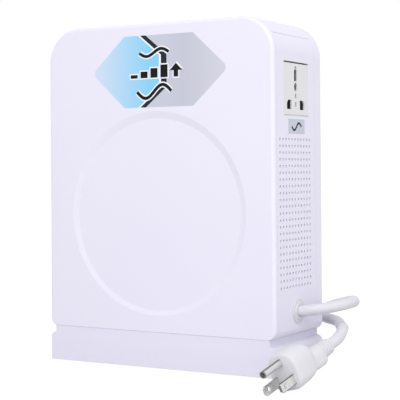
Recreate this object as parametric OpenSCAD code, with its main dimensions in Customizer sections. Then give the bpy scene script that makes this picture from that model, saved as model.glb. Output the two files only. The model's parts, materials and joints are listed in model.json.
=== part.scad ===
// Upright step-up voltage transformer with an outlet, a mains lead and a plug, in millimetres.
// The origin is the middle of the footprint on the surface that it stands on: +Z is up, -Y is the front.

/* [Body] */
// Width of the body
body_w = 190; // [180:1:210]
// Depth of the body
body_d = 77; // [76:1:90]
// Height of the whole object
total_h = 248; // [244:1:270]
// Height of the body's lower edge
body_z = 26; // [24:0.5:30]
// Radius of the top corners
top_r = 25; // [20:1:30]
// Radius of the body's lower corners
low_r = 6; // [5.5:0.5:8]
// Thickness of the panels and the rear cover
wall = 2.5; // [2.2:0.1:3]
// Rounding of the front and rear edges
edge_r = 2.6; // [2:0.1:3.4]
// Rounding of the covers' lower edges
low_edge = 0.6; // [0.4:0.1:2.4]

/* [Covers] */
// Thickness of the front cover's plate
front_t = 3.2; // [2.8:0.1:3.6]
// Depth of the front cover's rim
front_rim = 4; // [3.8:0.1:6]
// Depth of the rear cover's rim
rear_rim = 12; // [10:0.5:14]
// Length of a cover's inner lip past its rim
lip_l = 4; // [2:0.5:5]
// Thickness of the inner lips
lip_t = 1.5; // [1:0.1:2]
// Gap at the seams between panels
seam = 0.2; // [0.1:0.05:0.4]
// Rise of the top panel's seam above the start of the corner
seam_rise = 13.2; // [10:0.2:15]
// Clearance around pieces that fit into each other
fit = 0.15; // [0.1:0.05:0.3]

/* [Front disc and label] */
// Height of the round recess's lower edge above the body's lower edge
disc_rise = 11.2; // [10:0.2:18]
// Gap between the round recess and the label
disc_gap = 3.7; // [3:0.1:10]
// Depth of the recess at its top
disc_top = 1.5; // [0.4:0.1:1.8]
// Depth of the recess at its bottom
disc_low = 1; // [0.2:0.1:1.4]
// Width of the recess's sloped rim
disc_rim = 4.4; // [1:0.1:6]
// Length of the six-sided label from tip to tip
label_w = 115; // [100:1:120]
// Length of the label's straight top
label_top = 58; // [50:1:64]
// Rounding of the label's two tips
label_tip_r = 4; // [2:0.5:6]
// Height of the label
label_h = 52; // [46:1:54]
// Distance of the label's centre below the top
label_drop = 34.7; // [32:0.1:38]
// Sideways place of the label's centre
label_x = 2.5; // [-3:0.1:3]
// Thickness of the labels, which lie flush
label_t = 0.3; // [0.2:0.05:0.5]

/* [Side panel] */
// Distance of the first vents from the panel's front edge
vent_front = 5; // [3:0.1:8]
// Distance of the last vents from the panel's rear edge
vent_rear = 8.8; // [5:0.1:12]
// Rise of the lowest vents above the cable gland's centre
vent_rise = 17.6; // [12:0.1:22]
// Drop of the highest vents below the output label
vent_drop = 3.9; // [2:0.1:8]
// Diameter of a vent
vent_d = 2; // [1.6:0.1:2.6]
// Number of vents along the depth
vent_cols = 11; // [9:1:11]
// Number of vents along the height
vent_rows = 23; // [15:1:23]
// Shift of the outlet and the cable gland behind the panel's middle
socket_shift = 0.7; // [0:0.1:2]
// Length of the output label
out_label_w = 26; // [20:0.5:30]
// Height of the output label
out_label_h = 10.5; // [8:0.5:11]
// Gap between the outlet's opening and the output label
out_label_gap = 1.9; // [1:0.1:2.4]

/* [Outlet] */
// Distance of the outlet's centre below the top
socket_drop = 49.7; // [48:0.1:54]
// Width of the outlet's face
face_w = 38.5; // [38:0.1:40]
// Height of the outlet's face
face_h = 36.2; // [36:0.1:37]
// Slit above and below the face
slit = 1; // [0.6:0.1:1.4]
// Depth of the face below the panel
face_recess = 0.4; // [0.2:0.1:0.8]
// Thickness of the face and the insert behind it together
face_t = 4; // [3.6:0.1:5]
// Thickness of the face alone
face_plate = 1.2; // [0.8:0.1:2]
// Depth of the housing behind the face
housing_l = 22.6; // [21:0.1:24]
// Thickness of the housing's back
housing_back = 2.5; // [2:0.1:3.5]
// Reach of the housing's ears behind the panel
ear_reach = 3.5; // [2.5:0.1:4.5]
// Thickness of the ears
ear_t = 4; // [3:0.1:5]
// Width of the ears
ear_w = 30; // [20:1:34]
// Distance of the live and neutral holes from the outlet's centre line
pole_dy = 10.2; // [9.9:0.1:10.6]
// Height of the live and neutral holes below the outlet's centre
pole_drop = 11; // [10.6:0.1:11.4]
// Width of the live and neutral holes
pole_w = 7.4; // [6.8:0.1:7.8]
// Height of the live and neutral holes
pole_h = 6.6; // [6.2:0.1:7]
// Chamfer on their outer top corners
pole_cut = 2.2; // [1.5:0.1:2.4]
// Width of the earth hole
earth_w = 4.8; // [4.4:0.1:5]
// Height of the earth hole's wide part
earth_h = 8; // [7:0.1:8.4]
// Rise of the earth hole's centre above the outlet's centre
earth_rise = 9.6; // [9.2:0.1:9.9]
// Width of the narrow slot above the earth hole
key_w = 2.6; // [2:0.1:3]
// Height of the narrow slot
key_h = 2.6; // [2:0.1:3]
// Width of the lens-shaped hole
lens_w = 4.8; // [4:0.1:5]
// Height of the lens-shaped hole
lens_h = 7; // [6:0.1:7.2]
// Rise of the lens-shaped hole's centre above the outlet's centre
lens_rise = 1.5; // [1.3:0.1:1.6]
// Width of the two small slots
slot_w = 2.3; // [1.8:0.1:2.6]
// Height of the two small slots
slot_h = 3; // [2.4:0.1:3.2]
// Drop of the upper small slot below the outlet's centre
slot_drop = 5; // [4.9:0.1:5.2]
// Gap between a contact's leaves
leaf_gap = 5.2; // [4.8:0.1:5.6]
// Thickness of the contacts
leaf_t = 0.6; // [0.4:0.05:0.8]
// Length of the leaves
leaf_l = 16; // [12:0.5:17]
// Width of a contact's tail
tail_w = 4; // [3:0.1:5]
// Reach of the tails below the housing
tail_l = 6; // [4:0.5:8]

/* [Stand] */
// Height of the neck between the stand and the body
neck_h = 4.3; // [3:0.1:5]
// Inset of the neck at the sides
neck_in = 4.9; // [3:0.1:6]
// Inset of the neck at the front and rear
neck_in_y = 0.4; // [0.4:0.1:2]
// Radius of the stand's upright corners
stand_corner = 2.4; // [1:0.1:3]
// Radius of the stand's shoulders
shoulder_r = 6; // [5.2:0.1:8]
// Wall of the stand
stand_wall = 2.5; // [2:0.1:3]
// Thickness of the stand's top
stand_top = 3; // [2.5:0.1:4]
// Thickness of the base plate
plate_t = 2.5; // [2.2:0.1:3]
// Clearance around the base plate
plate_gap = 0.3; // [0.2:0.05:0.5]
// Diameter of the feet
foot_d = 14; // [10:0.5:18]
// Thickness of the feet
foot_t = 2; // [1.6:0.1:2.2]
// Height that the feet stand proud
foot_proud = 0.6; // [0.4:0.1:1]
// Distance of the feet's middles from the sides
foot_side = 25; // [21:0.5:35]
// Distance of the feet's middles from the front and rear
foot_edge = 14.5; // [13.5:0.5:18]

/* [Screws] */
// Diameter of the cover and stand screws
screw_d = 4; // [3.5:0.1:4.5]
// Diameter of their heads
head_d = 7.5; // [7:0.1:8]
// Height of their heads
head_h = 2.8; // [2.4:0.1:3]
// Length of the cover screws
cover_screw_l = 22; // [16:1:26]
// Length of the stand screws
stand_screw_l = 12; // [9:0.5:13]
// Clearance around a sunk head
head_gap = 0.4; // [0.3:0.05:0.6]
// Depth of the cover screws' heads below the rear
head_sink = 30; // [26:1:32]
// Thickness under a sunk head
seat_t = 6.5; // [5:0.5:8]
// Diameter of the screw posts
post_d = 11; // [10.5:0.1:11.5]
// Distance of the lower posts from the sides
post_side_low = 21; // [20:0.5:23]
// Height of the lower posts above the body's edge
post_rise = 9; // [8.8:0.1:10]
// Distance of the upper posts from the sides
post_side_top = 19; // [17:0.5:21]
// Distance of the upper posts below the top
post_drop = 17; // [16:0.5:18]
// Clearance of the stand screws' bosses from the covers and the terminal block
boss_gap = 0.5; // [0.3:0.1:1]
// Diameter of the bosses for the stand screws
boss_d = 9; // [8:0.1:10]
// Height of the bosses for the stand screws
boss_h = 10; // [9:0.5:10]
// Diameter of the base plate's screws
plate_screw_d = 3; // [2.5:0.1:3.5]
// Diameter of their heads
plate_head_d = 6; // [5:0.1:6.5]
// Height of their heads
plate_head_h = 1.3; // [1:0.1:1.4]
// Length of the base plate's screws
plate_screw_l = 9; // [7:0.5:11]
// Diameter of the stand's inner posts
plate_post_d = 8; // [7:0.1:9]
// Distance of the base plate's screws from the sides
plate_screw_side = 12; // [11.5:0.5:15]
// Distance of the base plate's screws from the front and rear
plate_screw_edge = 9.5; // [9:0.5:11.5]

/* [Transformer] */
// Inset of the winding behind the round recess's edge
coil_in = 5.2; // [4:0.1:10]
// Radial depth of the winding from its bore to its edge
coil_deep = 43; // [40:0.5:44]
// Gap between the centre bolt's head and the front cover
bolt_room = 4; // [3:0.5:8]
// Thickness of the winding around the core
coil_wall = 10; // [8:0.5:11]
// Rounding of the winding
coil_round = 8; // [5:0.5:9]
// Clearance around the core
core_gap = 0.2; // [0.1:0.05:0.4]
// Width of the slot that the winding's leads leave by
lead_slot = 8; // [6:0.5:10]
// Thickness of the insulating pads
pad_t = 2; // [1.5:0.1:2.5]
// Inset of the insulating pads from the winding's edge
pad_in = 5; // [4:0.5:9]
// Inset of the clamping plate from the winding's edge
clamp_in = 18; // [13:0.5:24]
// Thickness of the clamping plate
clamp_t = 2; // [1.5:0.1:2.5]
// Diameter of the centre bolt
bolt_d = 8; // [7:0.5:9]
// Width of the bolt's head across its flats
bolt_head = 13; // [12:0.5:14]
// Height of the bolt's head
bolt_head_h = 5.3; // [4:0.1:5.5]
// Length of the bolt under its head
bolt_l = 18; // [15:0.5:19]
// Diameter of the centre post
centre_d = 20; // [18:0.5:22]
// Gap between the centre post and the clamping plate's back
centre_gap = 4; // [3:0.5:5]
// Diameter of the threaded insert
insert_d = 12; // [11:0.5:13]
// Length of the threaded insert
insert_l = 14; // [12:0.5:16]
// Length of the thermal cut-out
cutout_l = 20; // [16:0.5:24]
// Width of the thermal cut-out
cutout_w = 10; // [8:0.5:12]
// Thickness of the thermal cut-out
cutout_t = 5; // [4:0.1:6]

/* [Wiring] */
// Length of the terminal block
block_l = 24; // [20:0.5:25]
// Height of the terminal block
block_h = 19.5; // [19:0.5:21]
// Distance of the terminal block's middle from the right side
block_side = 43; // [42:0.5:44]
// Distance between the block's poles
block_pitch = 6; // [5.6:0.1:6.4]
// Diameter of the inner leads
lead_d = 2.2; // [1.8:0.1:2.6]
// Depth that the leads reach into the block
lead_in = 6; // [4:0.5:7]
// Height of the winding's leads above the floor panel
lead_rise = 7.5; // [6:0.5:9]
// Distance of the output leads from the side panel
lead_off = 6; // [4:0.5:10]

/* [Mains lead] */
// Diameter of the mains lead
cord_d = 7.8; // [7:0.1:8.2]
// Height of the cable gland above the body's lower edge
gland_rise = 17; // [16.5:0.1:17.5]
// Diameter of the gland's flange
gland_d = 17.2; // [16:0.1:18]
// Thickness of the gland's flange
gland_t = 1; // [0.8:0.1:3]
// Diameter of the gland's collar
collar_d = 12.6; // [11.5:0.1:13]
// Length of the gland's collar
collar_l = 0.7; // [0.5:0.1:2.5]
// Diameter of the gland's neck
neck_d = 11.4; // [10.5:0.1:12]
// Length of the gland's neck behind the flange
neck_l = 10; // [9:0.1:11]
// Width of the gland's nut across its flats
nut_w = 17; // [16:0.5:18]
// Thickness of the gland's nut
nut_t = 5; // [4:0.1:6]
// Reach of the lead's jacket past the gland's neck
jacket_in = 2; // [1:0.5:3]
// Radius at the middle of the put-away coil's turns
wind_r = 40; // [38:0.5:42]
// Gap between the coil's turns
wind_gap = 0.6; // [0.5:0.05:1]
// Width of the coil's tie
tie_w = 7; // [5:0.5:10]
// Thickness of the coil's tie
tie_t = 1.2; // [0.8:0.1:1.6]
// Clearance inside the tie
tie_gap = 0.3; // [0.2:0.05:0.5]

/* [Plug] */
// Distance between the plug's two flat blades
blade_pitch = 12.7; // [12.5:0.1:12.9]
// Width of a blade
blade_w = 6.35; // [6.1:0.05:6.6]
// Thickness of a blade
blade_t = 1.5; // [1.4:0.05:1.7]
// Length of a blade outside the plug
blade_l = 17; // [15.9:0.1:18.2]
// Diameter of the hole in a blade
blade_hole = 3.2; // [3:0.1:3.5]
// Distance of the hole from the plug's face
blade_hole_at = 11.7; // [11:0.1:12.5]
// Diameter of the earth pin
pin_d = 4.75; // [4.7:0.05:4.8]
// Length of the earth pin outside the plug
pin_l = 20.5; // [19:0.1:21]
// Bore in the earth pin's tip
pin_bore = 2.8; // [2:0.1:3.2]
// Depth of that bore
pin_bore_l = 7; // [4:0.5:9]
// Height of the earth pin above the blades
pin_rise = 11.9; // [11.7:0.1:12.1]
// Length of the blades' and the pin's roots inside the plug
root_l = 9; // [6:0.5:12]
// Width of the plug's front flange
plug_w = 22.6; // [21:0.2:26]
// Drop of the flange's edge below the blades
plug_low = 7.5; // [7:0.1:7.6]
// Rise of the flange's edge above the blades
plug_high = 17.5; // [16.5:0.1:18.5]
// Corner radius of the flange beside the blades
plug_r = 6; // [5:0.1:7]
// Corner radius of the flange beside the earth pin
plug_top_r = 10; // [8:0.1:10.4]
// Depth of the flange
flange_l = 25; // [22:0.5:27]
// Rounding of the flange's front edge
flange_edge = 1.6; // [0.6:0.1:2]
// Inset of the flange's shoulder at its rear
flange_in = 2.6; // [1.5:0.1:3.5]
// Length of the flange's sloped shoulder
flange_slope = 11; // [6:0.5:14]
// Width of the plug's grip
grip_w = 14.2; // [13:0.1:16]
// Height of the plug's grip
grip_h = 14.6; // [13:0.1:16]
// Length of the plug's grip
grip_l = 17.5; // [15:0.5:22]
// Corner radius of the grip
grip_r = 5.5; // [4.5:0.1:6.5]
// Inset of the waist between flange and grip
waist_in = 1; // [0.4:0.1:1.6]
// Length of the plug's strain relief
relief_l = 14; // [11:0.5:16]
// Diameter of the strain relief where it leaves the grip
relief_d = 10; // [9.4:0.1:11]
// Diameter of the strain relief at its end
relief_end_d = 9; // [8.6:0.1:9.6]
// Number of ribs on the strain relief
relief_ribs = 4; // [3:1:5]
// Height of a rib
rib_h = 0.9; // [0.5:0.1:1.2]
// Height of the grip's axis above the blades
grip_rise = 1.1; // [0:0.1:2]
// Height of the lead's axis above the blades
cord_rise = 1.8; // [0.6:0.1:2.4]

/* [Hidden] */
$fn = 64;
// Share of the way to a tip's arc where the label's sides end, so that sides and arc cross
turn_share = 0.92;

// Colours of the pieces
shell_white = [0.93, 0.93, 0.96];
outlet_grey = [0.89, 0.89, 0.89];
housing_grey = [0.22, 0.22, 0.23];
cord_white = [0.92, 0.92, 0.93];
nickel = [0.74, 0.72, 0.70];
brass = [0.80, 0.66, 0.36];
steel = [0.62, 0.63, 0.65];
copper = [0.72, 0.42, 0.24];
label_blue = [0.47, 0.74, 0.90];
rubber_grey = [0.30, 0.30, 0.32];

// Small steps that let solids fuse or cut cleanly
sink = 0.5;
past = 1;
thin = 0.01;
hull_fn = 64;

// Faces of the body
front_y = -body_d / 2;
rear_y = body_d / 2;
side_x = body_w / 2;
front_in = front_y + front_t;
rear_in = rear_y - wall;
side_in = side_x - wall;
floor_in = body_z + wall;
panel_y0 = front_y + front_rim + seam;
panel_y1 = rear_y - rear_rim - seam;
seam_z = total_h - top_r + seam_rise;
floor_half = side_x - low_r - seam / 2;
panel_mid = (panel_y0 + panel_y1) / 2;

// Screw posts that tie the two covers together
head_seat = rear_y - head_sink;
post_split = head_seat - seat_t;
posts = [for (s = [-1, 1]) each [
    [s * (side_x - post_side_low), body_z + post_rise],
    [s * (side_x - post_side_top), total_h - post_drop]
]];
plate_bolts = [for (s = [-1, 1], t = [-1, 1])
    [s * (side_x - plate_screw_side), t * (rear_y - plate_screw_edge)]];
feet = [for (s = [-1, 1], t = [-1, 1]) [s * (side_x - foot_side), t * (rear_y - foot_edge)]];

// Label near the top, and the round recess between the label and the body's lower edge
label_z = total_h - label_drop;
disc_d = label_z - label_h / 2 - disc_gap - body_z - disc_rise;
disc_z = body_z + disc_rise + disc_d / 2;
disc_mid = (disc_top + disc_low) / 2;
disc_tilt = atan((disc_top - disc_low) / disc_d);
disc_reach = 3;

// Heights of the stand
neck_low = body_z - neck_h;
stand_low = foot_proud;
plate_top = stand_low + plate_t;
cavity_top = body_z - stand_top;
cavity_mid = neck_low - shoulder_r - stand_wall;
neck_x = side_x - neck_in;
neck_y = rear_y - neck_in_y;

// Outlet
socket_y = panel_mid + socket_shift;
socket_z = total_h - socket_drop;
face_x = side_x - face_recess;
face_back = face_x - face_t;
face_split = face_x - face_plate;
box_back = face_back - housing_l;
cavity_x = box_back + housing_back;
face_low = socket_z - face_h / 2;
face_high = socket_z + face_h / 2;
pole_z = socket_z - pole_drop;
earth_z = socket_z + earth_rise;
lens_z = socket_z + lens_rise;
slot_zs = [socket_z - slot_drop, pole_z + 0.3];
contact_w = leaf_gap + 2 * leaf_t;
pole_span = [pole_z - pole_h / 2, pole_z + pole_h / 2];
earth_span = [slot_zs[1] - slot_h / 2, earth_z + earth_h / 2 + key_h];
contact_room = 0.8;
tail_z = face_low - tail_l;
tail_x = cavity_x + leaf_t / 2;
neutral_y = socket_y - pole_dy;
live_y = socket_y + pole_dy;
out_label_z = face_low - slit - out_label_gap - out_label_h / 2;

// Cable gland, and the vents between it and the output label
gland_z = body_z + gland_rise;
vent_y0 = panel_y0 + vent_front;
vent_z0 = gland_z + vent_rise;
vent_step_y = (panel_y1 - vent_rear - vent_y0) / (vent_cols - 1);
vent_step_z = (out_label_z - out_label_h / 2 - vent_drop - vent_z0) / (vent_rows - 1);

// Transformer stack along the depth, from the rear cover forwards
coil_od = disc_d - 2 * coil_in;
coil_id = coil_od - 2 * coil_deep;
coil_len = rear_in - front_in - 2 * pad_t - clamp_t - bolt_head_h - bolt_room;
pad_d = coil_od - 2 * pad_in;
clamp_d = coil_od - 2 * clamp_in;
stack_rear = rear_in - pad_t;
stack_front = stack_rear - coil_len;
clamp_back = stack_front - pad_t;
clamp_front = clamp_back - clamp_t;
centre_front = clamp_back + centre_gap;
core_id = coil_id + 2 * coil_wall;
core_od = coil_od - 2 * coil_wall;
core_len = coil_len - 2 * coil_wall;
stack_mid = (stack_rear + stack_front) / 2;

// Terminal block: its poles along the depth are neutral, earth, live in and live out
block_poles = [for (k = [0:3]) panel_mid + (k - 1.5) * block_pitch];
block_w = 4 * block_pitch + 1;
block_x = side_x - block_side;
block_y0 = panel_mid - block_w / 2;
block_x0 = block_x - block_l / 2;
block_x1 = block_x + block_l / 2;
block_top = floor_in + block_h;
lead_bore = lead_d + 2 * fit;
winding_lead_z = floor_in + lead_rise;
lead_bend = 5;
output_lead_z = block_top + 9;
output_lead_x = side_in - lead_off;
jacket_x = side_x - neck_l - jacket_in;
core_dy = 2.4;

// Stand screws, beside the terminal block and clear of both covers' lips
stand_x = block_x0 - boss_gap - boss_d / 2;
stand_ys = [panel_y0 - seam + lip_l + boss_gap + boss_d / 2, panel_y1 + seam - lip_l - boss_gap - boss_d / 2];
stand_bolts = [for (s = [-1, 1], y = stand_ys) [s * stand_x, y]];

// Put-away coil: four layers that spiral in and out, climbing in the half turn between two layers
wind_at = [0, 92];
wind_layers = 4;
wind_turns = 4.625;
wind_climb = 0.5;
wind_start = -90;
wind_steps = 24;
wind_pitch = cord_d + wind_gap;
layer_turns = (wind_turns - wind_climb * (wind_layers - 1)) / wind_layers;
wind_out = wind_r + layer_turns * wind_pitch / 2;
wind_in = wind_r - layer_turns * wind_pitch / 2;
wind_z = tie_t + tie_gap + cord_d / 2;
cord_low = cord_d / 2;
tie_angle = 150;

// Pose of the plug as it lies on its blade and flange
plug_at = [123.5, -80, 8.6];
plug_tilt = 14;
plug_roll = -15;
plug_yaw = -5.5;
relief_start = flange_l + grip_l;
relief_end = relief_start + relief_l;

// Routes of the lead, chosen by hand: out of the gland and round behind the body, and on to the plug
route_out = [
    [jacket_x, socket_y, gland_z], [96, socket_y, gland_z], [109.5, 0.5, 44.6], [119.5, 10.5, 46.4],
    [123, 24, 47.4], [119.5, 38, 47], [109.5, 48, 45], [96, 51.7, 41], [82, 51.5, 35], [68, 50.2, 25.5],
    [55, 49.2, 14.5], [42, 48.7, 8], [28, 48.7, 5.4]
];
route_plug = [[60, 94, 30.5], [83, 69.5, 29.5], [95.2, 59.7, 29.2], [114.9, 25.7, 29.7], [124.6, 6.2, 31.1]];
out_sides = 10;
lead_sides = 8;
wind_sides = 6;

// Sweeping a tube along points
function low_inset(y) = let (rest = max(low_edge - y, 0)) low_edge - sqrt(low_edge * low_edge - rest * rest);
function unit(v) = v / norm(v);
function tangents(p) = [for (i = [0:len(p) - 1])
    i == 0 ? unit(p[1] - p[0]) :
    i == len(p) - 1 ? unit(p[i] - p[i - 1]) :
    unit(unit(p[i + 1] - p[i]) + unit(p[i] - p[i - 1]))];
function ring(at, along, up, r, sides) =
    let (a = unit(cross(up, along)), b = cross(along, a))
    [for (k = [0:sides - 1]) at + r * (cos(360 * k / sides) * a + sin(360 * k / sides) * b)];
function side_faces(n, s) = [for (i = [0:n - 2], k = [0:s - 1])
    let (a = i * s + k, b = i * s + (k + 1) % s)
    each [[a, a + s, b + s], [a, b + s, b]]];
function cap_faces(n, s) = let (e = (n - 1) * s) [for (k = [1:s - 2])
    each [[0, k, k + 1], [e, e + k + 1, e + k]]];

module tube(path, d, sides, up) {
    along = tangents(path);
    n = len(path);
    points = [for (i = [0:n - 1]) each ring(path[i], along[i], up, d / 2, sides)];
    polyhedron(points, concat(side_faces(n, sides), cap_faces(n, sides)));
}

// Coil of the lead: radius and height after u turns
function wind_layer(u) = min(floor(u / (layer_turns + wind_climb)), wind_layers - 1);
function wind_into(u) = u - wind_layer(u) * (layer_turns + wind_climb);
function wind_past(u) = max(wind_into(u) - layer_turns, 0);
function wind_turned(u) = min(wind_past(u), wind_climb - wind_past(u));
function wind_shift(u) = min(wind_into(u), layer_turns) + (wind_past(u) > 0 ? wind_turned(u) : 0);
function wind_radius(u) = wind_layer(u) % 2 == 0 ?
    wind_out - wind_pitch * wind_shift(u) : wind_in + wind_pitch * wind_shift(u);
function wind_height(u) = wind_z + wind_pitch * (wind_layer(u) + wind_past(u) / wind_climb);
function wind_point(u) = let (a = wind_start - 360 * u, r = wind_radius(u))
    [wind_at[0] + r * cos(a), wind_at[1] + r * sin(a), wind_height(u)];
function wind_heading(u) = let (a = wind_start - 360 * u) [sin(a), -cos(a), 0];
wind_rings = ceil(wind_turns * wind_steps);
wind_line = [for (i = [0:wind_rings]) wind_point(wind_turns * i / wind_rings)];
wind_first = wind_line[0] - cord_d * wind_heading(0);
wind_last = wind_line[wind_rings] + cord_d * wind_heading(wind_turns);
wind_path = concat([wind_first], wind_line, [wind_last]);
wind_least = min([for (i = [0:wind_rings], j = [i + wind_steps / 2:1:wind_rings])
    norm(wind_line[i] - wind_line[j])]) - cord_d;
echo(str("least gap in the coil: ", wind_least, " mm"));

// Points of the plug's own frame, placed in the object's frame
function about_y(v, a) = [cos(a) * v[0] + sin(a) * v[2], v[1], -sin(a) * v[0] + cos(a) * v[2]];
function about_x(v, a) = [v[0], cos(a) * v[1] - sin(a) * v[2], sin(a) * v[1] + cos(a) * v[2]];
function about_z(v, a) = [cos(a) * v[0] - sin(a) * v[1], sin(a) * v[0] + cos(a) * v[1], v[2]];
function on_plug(v) = plug_at + about_z(about_x(about_y(v, plug_roll), plug_tilt), plug_yaw);

module plug_pose() {
    translate(plug_at) rotate([0, 0, plug_yaw]) rotate([plug_tilt, 0, 0])
        rotate([0, plug_roll, 0]) children();
}

// Flat shapes pushed along the depth or the width, and round bars along them
module slab(y0, y1) {
    translate([0, y1, 0]) rotate([90, 0, 0]) linear_extrude(y1 - y0) children();
}
module side_slab(x0, x1) {
    translate([x0, 0, 0]) rotate([90, 0, 90]) linear_extrude(x1 - x0) children();
}
module bar_y(at, y0, y1, d) {
    translate([at[0], y1, at[1]]) rotate([90, 0, 0]) cylinder(d = d, h = y1 - y0);
}
module bar_x(at, x0, x1, d) {
    translate([x0, at[0], at[1]]) rotate([0, 90, 0]) cylinder(d = d, h = x1 - x0);
}
module bar_z(at, z0, z1, d) {
    translate([at[0], at[1], z0]) cylinder(d = d, h = z1 - z0);
}
module centred(at, size) {
    translate(at - size / 2) square(size);
}

// Outline of the body seen from the front, drawn in by an inset
module outline(inset, low_in = undef) {
    half = side_x - inset;
    low = body_z + (is_undef(low_in) ? inset : low_in);
    high = total_h - inset;
    rt = top_r - inset;
    rl = max(low_r - inset, sink);
    translate([-half + rt, low + rl]) square([2 * (half - rt), high - low - rl]);
    translate([-half, low + rl]) square([2 * half, high - rt - low - rl]);
    translate([-half + rl, low]) square([2 * (half - rl), high - rt - low]);
    for (s = [-1, 1]) {
        translate([s * (half - rt), high - rt]) circle(rt);
        translate([s * (half - rl), low + rl]) circle(rl);
    }
}
module panel_ring() {
    difference() {
        outline(0);
        outline(wall);
    }
}

// Shell of a cover with a rounded edge and an inner lip, drawn for the front
module cover_shell(plate, rim) {
    round_r = min(edge_r, rim - sink);
    difference() {
        hull() {
            for (a = [0:18:72]) {
                at = front_y + round_r * (1 - cos(a));
                slab(at, at + thin) outline(round_r * (1 - sin(a)), low_inset(at - front_y), $fn = hull_fn);
            }
            slab(front_y + round_r, front_y + rim) outline(0, $fn = hull_fn);
        }
        slab(front_y + plate, front_y + rim + past) outline(wall);
    }
    slab(front_y + plate - sink, front_y + rim + lip_l) difference() {
        outline(wall + fit);
        outline(wall + fit + lip_t);
    }
}

module label_plate(y0, y1) {
    half = atan2(label_h, label_w - label_top);
    open = turn_share * label_tip_r / tan(half);
    tip = [label_w / 2 - open * cos(half), open * sin(half)];
    slab(y0, y1) translate([label_x, label_z]) polygon([
        [-tip[0], -tip[1]], [-tip[0], tip[1]], [-label_top / 2, label_h / 2],
        [label_top / 2, label_h / 2], tip, [tip[0], -tip[1]],
        [label_top / 2, -label_h / 2], [-label_top / 2, -label_h / 2]
    ]);
    for (s = [-1, 1])
        bar_y([label_x + s * (label_w / 2 - label_tip_r / sin(half)), label_z], y0, y1, 2 * label_tip_r);
}
module out_label_outline() {
    centred([socket_y, out_label_z], [out_label_w, out_label_h]);
}

module disc_cut() {
    floor_r = disc_d / 2 - disc_rim;
    translate([0, front_y + disc_mid, disc_z]) rotate([90 - disc_tilt, 0, 0])
        cylinder(h = disc_reach, r1 = floor_r, r2 = floor_r + disc_rim * disc_reach / disc_mid, $fn = 128);
}

module front_cover() {
    color(shell_white) difference() {
        union() {
            cover_shell(front_t, front_rim);
            for (p = posts) bar_y(p, front_in - sink, post_split, post_d);
        }
        disc_cut();
        label_plate(front_y - past, front_y + label_t);
        for (p = posts) bar_y(p, head_seat - cover_screw_l - past, post_split + past, screw_d + 2 * fit);
    }
}

module rear_cover() {
    color(shell_white) difference() {
        union() {
            mirror([0, 1, 0]) cover_shell(wall, rear_rim);
            for (p = posts) bar_y(p, post_split, rear_in + sink, post_d);
            bar_y([0, disc_z], centre_front, rear_in + sink, centre_d);
        }
        for (p = posts) {
            bar_y(p, head_seat, rear_y + past, head_d + 2 * head_gap);
            bar_y(p, post_split - past, head_seat + past, screw_d + 2 * fit);
        }
        bar_y([0, disc_z], centre_front - past, centre_front + insert_l, insert_d + 2 * fit);
        bar_y([0, disc_z], centre_front, clamp_front + bolt_l + past, bolt_d + 2 * fit);
    }
}

// Side panel with its lower bend and the start of its top corner, drawn for the right
module side_panel() {
    slab(panel_y0, panel_y1) intersection() {
        panel_ring();
        union() {
            translate([side_x / 2, body_z + low_r]) square([side_x, seam_z - seam / 2 - body_z - low_r]);
            translate([side_x - low_r + seam / 2, body_z - past]) square([side_x, low_r + past + sink]);
        }
    }
}
module vents() {
    for (i = [0:vent_cols - 1], j = [0:vent_rows - 1])
        translate([vent_y0 + i * vent_step_y, vent_z0 + j * vent_step_z]) circle(d = vent_d, $fn = 16);
}

module right_panel() {
    color(shell_white) difference() {
        side_panel();
        side_slab(side_in - past, side_x + past) {
            vents();
            centred([socket_y, socket_z], [face_w + 2 * fit, face_h + 2 * slit]);
            translate([socket_y, gland_z]) circle(d = neck_d + 2 * fit);
        }
        side_slab(side_x - label_t, side_x + past) out_label_outline();
    }
}
module left_panel() {
    color(shell_white) mirror([1, 0, 0]) difference() {
        side_panel();
        side_slab(side_in - past, side_x + past) vents();
    }
}
module top_panel() {
    color(shell_white) slab(panel_y0, panel_y1) intersection() {
        panel_ring();
        translate([-side_x, seam_z + seam / 2]) square([body_w, top_r]);
    }
}
module floor_panel() {
    color(shell_white) difference() {
        union() {
            translate([-floor_half, panel_y0, body_z]) cube([2 * floor_half, panel_y1 - panel_y0, wall]);
            for (p = stand_bolts) bar_z(p, floor_in - sink, floor_in + boss_h, boss_d);
        }
        for (p = stand_bolts) bar_z(p, body_z - past, cavity_top + stand_screw_l + past, screw_d + 2 * fit);
    }
}

// Outline of the stand from the front and from the side
module stand_front() {
    shoulder_z = neck_low - shoulder_r;
    translate([-side_x, stand_low]) square([body_w, shoulder_z - stand_low]);
    translate([-side_x + shoulder_r, stand_low]) square([body_w - 2 * shoulder_r, neck_low - stand_low]);
    translate([-neck_x, shoulder_z]) square([2 * neck_x, body_z - shoulder_z]);
    for (s = [-1, 1]) translate([s * (side_x - shoulder_r), shoulder_z]) circle(shoulder_r);
}
module stand_side() {
    shoulder_z = neck_low - shoulder_r;
    polygon([
        [-rear_y, stand_low], [rear_y, stand_low], [rear_y, shoulder_z], [neck_y, neck_low],
        [neck_y, body_z], [-neck_y, body_z], [-neck_y, neck_low], [-rear_y, shoulder_z]
    ]);
}
module stand_plan() {
    square([body_w - 2 * stand_corner, 2 * rear_y], center = true);
    square([body_w, 2 * rear_y - 2 * stand_corner], center = true);
    for (x = [-1, 1], y = [-1, 1])
        translate([x * (side_x - stand_corner), y * (rear_y - stand_corner)]) circle(stand_corner);
}
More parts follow.
